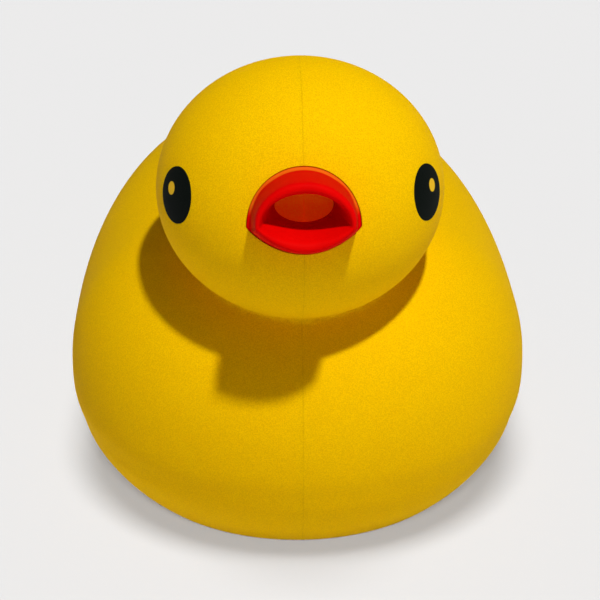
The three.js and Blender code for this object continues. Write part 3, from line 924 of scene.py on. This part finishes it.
def belly_hardware():
    """Makes every piece below the shell and sets each on its body."""
    white, blue, rubber, steel = white_plastic(), blue_plastic(), seal_rubber(), stainless()
    for piece, node, finish, slot in (
            (well_cup(), "well_housing", white, "white_plastic"),
            (flange_seal(), "flange_gasket", rubber, "seal_rubber"),
            (foot_ring(), "base_ring", white, "white_plastic"),
            (ballast_weight(), "ballast_ring", ballast_iron(), "ballast_iron"),
            (canister_tube(), "canister_sleeve", white, "white_plastic"),
            (canister_lid(), "canister_head", white, "white_plastic"),
            (seal_ring(), "canister_oring", rubber, "seal_rubber"),
            (flow_collar(), "vent_collar", blue, "blue_plastic"),
            (tray_grid(), "tablet_tray", white, "white_plastic"),
            (screw_cap(), "bottom_cap", blue, "blue_plastic"),
            (tether_eye(), "tether_bracket", white, "white_plastic"),
            (mooring_ring(), "tether_ring", steel, "stainless")):
        fit_out(piece, node, finish)
    flip = Matrix.Rotation(math.pi, 4, "X")
    base = pan_screw("foot_screw", head=3.5, head_high=2.1, shank=1.5, length=17.9, place=flip)
    for i, (x, y) in enumerate(SCREWS, 1):
        place = Matrix.Translation((x * MM, y * MM, 0.6 * MM))
        fit_out(copy_of(base, f"foot_screw_{i}", place), f"base_screw_{i}", steel)
    bpy.data.objects.remove(base)
    raised = Matrix.Translation((0, 0, 3.4 * MM))
    small = pan_screw("tether_pin", head=2.6, head_high=1.5, shank=1.3, length=10.4, place=raised)
    for node, x in (("tether_screw_left", TETHER_SCREW_X), ("tether_screw_right", -TETHER_SCREW_X)):
        place = tether_frame @ Matrix.Translation((x * MM, 0, 0))
        fit_out(copy_of(small, node.replace("screw", "pin"), place), node, steel)
    bpy.data.objects.remove(small)


belly_hardware()

# ---------------------------------------------------------------- floor, light and camera, in metres

FLOOR_WIDTH, DOME_RADIUS = 60, 12
DUCK_MIDDLE = Vector((0, -0.02, 0.1))
CAMERA_AIM, CAMERA_DISTANCE = Vector((0.0012, 0.00115, 0.0792)), 0.8
CAMERA_TURN, CAMERA_LIFT, LENS = math.radians(-1.6), math.radians(28), 108.4


def pale_floor():
    """A plain floor, dark under strong lights of its own, so that the duck hardly tints it."""
    settle()
    bpy.ops.mesh.primitive_plane_add(size=FLOOR_WIDTH)
    floor = named("floor")
    f = Finish("pale_floor", 0.9, Specular_IOR_Level=0.0)
    f.shader.inputs["Base Color"].default_value = (0.2, 0.2, 0.2, 1)
    floor.data.materials.append(f.material)
    return floor


def pale_backdrop():
    """A wide dome behind the floor, seen by the camera alone, so that it lights nothing."""
    settle()
    bpy.ops.mesh.primitive_uv_sphere_add(segments=64, ring_count=32, radius=DOME_RADIUS)
    dome = named("backdrop")
    f = Finish("pale_backdrop", 1.0, Specular_IOR_Level=0.0, Emission_Strength=0.84)
    f.shader.inputs["Base Color"].default_value = (0, 0, 0, 1)
    f.shader.inputs["Emission Color"].default_value = (1, 0.995, 0.99, 1)
    dome.data.materials.append(f.material)
    for ray in ("diffuse", "glossy", "transmission", "shadow", "volume_scatter"):
        setattr(dome, "visible_" + ray, False)


def reach_only(light, floor, state):
    """Keeps a light to the floor, or off it."""
    lit = bpy.data.collections.new(light.name + "_reach")
    lit.objects.link(floor)
    lit.collection_objects[0].light_linking.link_state = state
    light.light_linking.receiver_collection = lit


def new_light(name, kind, place, aim):
    """A light set down at a place and turned towards its aim."""
    light = bpy.data.objects.new(name, bpy.data.lights.new(name, kind))
    light.location = place
    light.rotation_euler = (Vector(aim) - Vector(place)).to_track_quat("-Z", "Y").to_euler()
    bpy.context.scene.collection.objects.link(light)
    return light


def duck_light(name, place, size, power, colour, floor):
    """A round soft light on the duck that leaves the floor alone."""
    light = new_light(name, "AREA", place, DUCK_MIDDLE)
    light.data.color = colour
    light.data.shape, light.data.size, light.data.energy = "DISK", size, power
    reach_only(light, floor, "EXCLUDE")


def floor_light(name, way, spread, strength, floor, shadows=True):
    """An even wash on the floor alone, from far off."""
    light = new_light(name, "SUN", way, (0, 0, 0))
    light.data.angle, light.data.energy = math.radians(spread), strength
    light.data.use_shadow = shadows
    reach_only(light, floor, "INCLUDE")


def camera():
    """A long lens in front of the duck and above it."""
    data = bpy.data.cameras.new("camera")
    data.sensor_width, data.lens = 36, LENS
    data.clip_start, data.clip_end = 0.05, 100
    eye = bpy.data.objects.new("camera", data)
    back = Vector((math.sin(CAMERA_TURN) * math.cos(CAMERA_LIFT),
                   -math.cos(CAMERA_TURN) * math.cos(CAMERA_LIFT), math.sin(CAMERA_LIFT)))
    eye.location = CAMERA_AIM + back * CAMERA_DISTANCE
    eye.rotation_euler = (-back).to_track_quat("-Z", "Y").to_euler()
    bpy.context.scene.collection.objects.link(eye)
    bpy.context.scene.camera = eye


def studio():
    """Floor, backdrop, a warm dim surround and the lights."""
    floor = pale_floor()
    pale_backdrop()
    world = bpy.data.worlds.new("studio")
    bpy.context.scene.world = world
    world.use_nodes = True
    surround = world.node_tree.nodes["Background"].inputs
    surround["Color"].default_value = (1, 0.84, 0.74, 1)
    surround["Strength"].default_value = 0.125
    duck_light("key", (0.24, -0.66, 1.53), 0.08, 21.3, (1, 1.05, 0.95), floor)
    duck_light("side_fill", (1.5, -0.9, 0.7), 1.0, 1.2, (1, 0.95, 0.9), floor)
    floor_light("floor_top", (0, -0.24, 1), 22, 6.5, floor)
    floor_light("floor_front", (-0.03, -1.0, 0.8), 16, 6.1, floor)
    floor_light("floor_fill", (0, 0, 1), 10, 2.6, floor, shadows=False)
    bpy.context.scene.view_settings.view_transform = "Standard"


studio()
camera()
